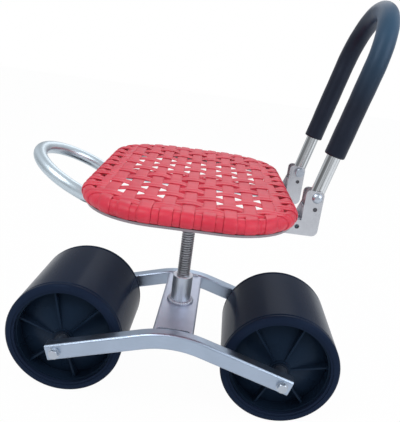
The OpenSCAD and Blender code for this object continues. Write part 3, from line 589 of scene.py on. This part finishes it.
def holeShadePlugs():
    # painted shade: short dark round plugs, sunk a little below both faces of each bracket's spare hole,
    # stand in for the shade inside it
    turn = np.linspace(0, 2 * np.pi, plug["around"], endpoint=False)
    depth = np.array([plug["inner"], plug["outer"]])
    grids = []
    for side in (-1, 1):
        for face in (-1, 1):
            y = side * plug["gauge"] + face * depth[:, None] + 0 * turn
            x = plug["x"] + plug["radius"] * np.cos(turn) + 0 * y
            z = plug["z"] + plug["radius"] * np.sin(turn) + 0 * y
            grids.append(turned(np.stack([x, y, z], -1)))
    return makeMesh("holeShadePlugs", grids)


holeShadeCaps = dress(holeShadePlugs(), holeShadeSteel)
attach(holeShadeCaps, "seat")

# mm; "root" and "crest" are shares of the pitch
screw = {"radius": 10.0, "pitch": 4.0, "depth": 2.24, "foot": 75.0, "top": 305.3, "plain": 18.0,
    "chamfer": 2.0, "root": 0.33, "crest": 0.37, "runout": 3, "step": 0.25, "plainSteps": 8, "around": 48,
    "sharp": 50}


def threadedRod():
    # radius follows a trapezoid wave of height minus angle, so the ridge climbs one pitch a turn
    threadEnd = screw["top"] - screw["plain"]
    z = np.concatenate([np.arange(screw["foot"], threadEnd, screw["step"]),
        np.linspace(threadEnd, screw["top"], screw["plainSteps"])])
    turn = np.linspace(0, 2 * np.pi, screw["around"], endpoint=False)
    wave = np.abs((z[:, None] / screw["pitch"] - turn / (2 * np.pi)) % 1 - 0.5) * 2
    ridge = np.clip((wave - screw["root"]) / (1 - screw["root"] - screw["crest"]), 0, 1)
    run = smooth((z - screw["top"] + screw["plain"]) / screw["runout"])[:, None]
    r = screw["radius"] - screw["depth"] * (1 - np.maximum(ridge, run))
    low = screw["radius"] - screw["depth"] - screw["chamfer"] + (z - screw["foot"])[:, None]
    r = np.minimum(r, low)
    grid = np.stack([r * np.cos(turn), r * np.sin(turn), z[:, None] + 0 * turn], -1)
    return makeMesh("threadedRod", [grid], sharp=screw["sharp"])


rod = dress(threadedRod(), screwSteel)
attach(rod, "screw")
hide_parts("screw")

# mm, and shares of the bead's size
weld = {"radius": 16.0, "size": 5.2, "base": 141.06, "ripples": 38, "wander": 0.4, "blunt": 0.6,
    "least": 0.86, "drop": 0.1, "sway": 0.06, "bulge": 0.12, "root": 0.3, "slopes": 9, "around": 240,
    "sharp": 50}


def weldBead():
    # a quarter circle, a little bulged, carried round the sleeve; its size follows |sin| to a
    # power, with one hump for each drop of weld
    turn = np.linspace(0, 2 * np.pi, weld["around"], endpoint=False)
    beat = turn * weld["ripples"] / 2 + weld["wander"] * np.sin(3 * turn)
    drop = np.abs(np.sin(beat)) ** weld["blunt"]
    size = weld["size"] * (weld["least"] + weld["drop"] * drop + weld["sway"] * np.sin(2 * turn + 1))
    slope = np.linspace(0, np.pi / 2, weld["slopes"])
    back = size[:, None] * (1 + weld["bulge"] * np.sin(2 * slope))
    out, up = back * np.cos(slope), back * np.sin(slope)
    # two more points under the bead, set into the sleeve
    inset = 0 * size[:, None] - weld["root"]
    out = np.concatenate([out, inset, inset], 1)
    up = np.concatenate([up, up[:, -1:], 0 * inset], 1)
    r = weld["radius"] + out
    grid = np.stack([r * np.cos(turn)[:, None], r * np.sin(turn)[:, None], weld["base"] + up], -1)
    return makeMesh("sleeveWeld", [grid], closedAlong=True, sharp=weld["sharp"])


bead = dress(weldBead(), weldSteel)
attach(bead, "base")
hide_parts("sleeve_weld")

seams = {"plateZ": 141.06, "beamIn": 101.0, "plateHalf": 25.0, "headZ": 309.3, "rail": 9.5, "gauge": 79.0,
    "headHalf": 26.0, "hoopZ": 330.6, "hoopX": 130.5, "hoopHalf": 4, "size": 3.2, "plateSize": 3.8,
    "hoopSize": 2.6, "foot": 0.62, "steps": 3, "endSteps": 12, "beat": 0.9, "wander": (0.6, 0.31),
    "least": 0.8, "drop": 0.14, "taper": 3, "tip": 0.001, "blunt": 0.8, "root": 0.12, "slopes": 7,
    "sharp": 50}


def seamBead(start, end, first, second, size):
    # a fillet along a line: its feet lie along first and second, its back is a blunted quarter
    # circle, |sin| humps of frozen drops run along it, and the root of a sine closes both ends
    start, end, first, second = (np.array(v, float) for v in (start, end, first, second))
    length = np.linalg.norm(end - start)
    along = np.linspace(0, 1, int(length * seams["steps"]) + seams["endSteps"])
    wander = seams["wander"][0] * np.sin(along * length * seams["wander"][1])
    drop = np.abs(np.sin(along * length * seams["beat"] + wander))
    ends = np.sin(np.pi * np.clip(along, seams["tip"], 1 - seams["tip"]))
    taper = np.minimum(1, np.sqrt(ends * seams["taper"]))
    fat = size * (seams["least"] + seams["drop"] * drop) * taper
    slope = np.linspace(0, np.pi / 2, seams["slopes"])
    out = np.append(np.cos(slope) ** seams["blunt"], -seams["root"])
    up = np.append(np.sin(slope) ** seams["blunt"], -seams["root"])
    line = start + (end - start) * along[:, None]
    return line[:, None] + fat[:, None, None] * (out[:, None] * first + up[:, None] * second)


def frameSeams():
    # fillets between the cross plate and the two beams
    z, y, h = seams["plateZ"], seams["beamIn"], seams["plateHalf"]
    grids = [seamBead((-h, k * y, z), (h, k * y, z), (0, -k, 0), (0, 0, 1), seams["plateSize"])
        for k in (-1, 1)]
    return makeMesh("frameSeams", grids, sharp=seams["sharp"])


def seatSeams():
    # fillets between rails and head plate, and short ones where the rails meet the hoop
    grids = []
    h, low, high, half = (seams[key] for key in ("headHalf", "headZ", "hoopZ", "hoopHalf"))
    for k in (-1, 1):
        rail = k * seams["gauge"]
        for s in (-1, 1):
            y = rail + s * seams["rail"] * seams["foot"]
            grids.append(seamBead((-h, y, low), (h, y, low), (0, s, 0), (0, 0, 1), seams["size"]))
            for e in (-1, 1):
                x = e * seams["hoopX"] - seat["forward"] + s * half
                grids.append(seamBead((x, rail - half, high), (x, rail + half, high), (s, 0, 0), (0, 0, 1),
                    seams["hoopSize"]))
    return makeMesh("seatSeams", [turned(grid) for grid in grids], sharp=seams["sharp"])


for piece, body in ((dress(frameSeams(), weldSteel), "base"), (dress(seatSeams(), seatWeldSteel), "seat")):
    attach(piece, body)
print("screw and welds made")

light = {"floorSeen": 0.975, "floorGlossy": 0.35, "floorHalf": 6.0, "floorTone": (0.82, 0.82, 0.82),
    "floorRough": 0.9, "soft": 0.9, "glossy": 0.3, "skyTint": (0.9, 0.95, 1.0), "horizon": 0.05,
    "riseRate": 1.6, "fade": 0.6, "low": 0.7, "strips": 9.0, "gap": 0.85}


def seenMask(book, cameraShare, glossyShare):
    # largest of the three ray kinds that see the pale backdrop instead of the lit one
    path = book.node("ShaderNodeLightPath")
    rays = path.out.node.outputs
    glossy, clear = Sock(book, rays["Is Glossy Ray"]), Sock(book, rays["Is Transmission Ray"])
    return (path * cameraShare).most(glossy * glossyShare).most(clear * cameraShare)


floorBook = Book("floor")
floorBook.finish(Base_Color=light["floorTone"], Roughness=light["floorRough"], Specular_IOR_Level=0.0)
glow = floorBook.node("ShaderNodeEmission", {}, {"Color": (1.0, 1.0, 1.0), "Strength": 1.0})
plain = Sock(floorBook, floorBook.shader.outputs[0])
blend = floorBook.node("ShaderNodeMixShader", {},
    {0: seenMask(floorBook, light["floorSeen"], light["floorGlossy"]), 1: plain, 2: glow})
floorBook.tree.links.new(blend.out, floorBook.tree.nodes["Material Output"].inputs[0])

half = light["floorHalf"]
corners = [(-half, -half, 0), (half, -half, 0), (half, half, 0), (-half, half, 0)]
floorMesh = bpy.data.meshes.new("floor")
floorMesh.from_pydata(corners, [], [(0, 1, 2, 3)])
floor = bpy.data.objects.new("floor", floorMesh)
bpy.context.scene.collection.objects.link(floor)
dress(floor, floorBook.material)

world = bpy.data.worlds.new("studio")
bpy.context.scene.world = world
world.use_nodes = True


class SkyBook(Book):
    # the same helpers on the world's node tree
    def __init__(self, held):
        self.material, self.tree = held, held.node_tree
        self.tree.nodes.clear()


sky = SkyBook(world)
towardX, _, towardZ = sky.axes()
rise = ((towardZ + light["horizon"]) * light["riseRate"]).clip()
# tall pale strips with dark gaps between them, which fade out overhead
strip = (towardX * light["strips"]).maths("COSINE") * 0.5 + 0.5
bands = 1 - (1 - strip) * (1 - rise * light["fade"]) * light["gap"]
shade = (light["low"] + rise * (1 - light["low"])) * bands
soft = sky.node("ShaderNodeBackground", {}, {"Color": light["skyTint"], "Strength": shade * light["soft"]})
white = sky.node("ShaderNodeBackground", {}, {"Color": (1.0, 1.0, 1.0), "Strength": 1.0})
both = sky.node("ShaderNodeMixShader", {}, {0: seenMask(sky, 1.0, light["glossy"]), 1: soft, 2: white})
end = sky.tree.nodes.new("ShaderNodeOutputWorld")
sky.tree.links.new(both.out, end.inputs[0])


# place, aim, size in metres, power in watts and colour of each square lamp
lamps = {"key": ((-0.9, -1.1, 1.9), (0, 0, 0.25), 1.0, 20, (1, 1, 1)),
    "fill": ((1.5, -0.9, 1.1), (0, 0, 0.25), 1.2, 14, (0.93, 0.96, 1)),
    "back": ((0.2, 1.6, 1.6), (0, 0, 0.3), 1.2, 5, (1, 1, 1))}
for name, (place, aim, size, power, tint) in lamps.items():
    lit = bpy.data.lights.new(name, "AREA")
    lit.shape, lit.size, lit.energy, lit.color = "SQUARE", size, power, tint
    holder = bpy.data.objects.new(name, lit)
    holder.location = place
    holder.rotation_euler = (Vector(aim) - Vector(place)).to_track_quat("-Z", "Y").to_euler()
    bpy.context.scene.collection.objects.link(holder)

# degrees and metres; "focal" and "frame" are in pixels of the photo
shot = {"azimuth": 1.379, "elevation": 17.054, "roll": 7.632, "distance": 0.80623,
    "aimX": 0.012972, "aimZ": 0.295022, "focal": 524.236, "frame": 422.0, "sensor": 36.0,
    "near": 0.01, "far": 50}


def photoCamera():
    # stands back along azimuth and elevation from the aim point, then rolls about its own view line
    a, e, r = (math.radians(shot[k]) for k in ("azimuth", "elevation", "roll"))
    back = Vector((math.sin(a) * math.cos(e), -math.cos(a) * math.cos(e), math.sin(e)))
    level = (-back).cross(Vector((0, 0, 1))).normalized()
    lift = level.cross(-back)
    right = math.cos(r) * level + math.sin(r) * lift
    up = -math.sin(r) * level + math.cos(r) * lift
    data = bpy.data.cameras.new("photo")
    data.sensor_fit, data.sensor_width = "AUTO", shot["sensor"]
    data.lens = shot["sensor"] * shot["focal"] / shot["frame"]
    data.clip_start, data.clip_end = shot["near"], shot["far"]
    holder = bpy.data.objects.new("photo", data)
    spot = Vector((shot["aimX"], 0, shot["aimZ"])) + back * shot["distance"]
    holder.matrix_world = Matrix((
        (right.x, up.x, back.x, spot.x), (right.y, up.y, back.y, spot.y),
        (right.z, up.z, back.z, spot.z), (0, 0, 0, 1)))
    bpy.context.scene.collection.objects.link(holder)
    bpy.context.scene.camera = holder


photoCamera()
bpy.context.scene.view_settings.view_transform = "Standard"
print("stage set")
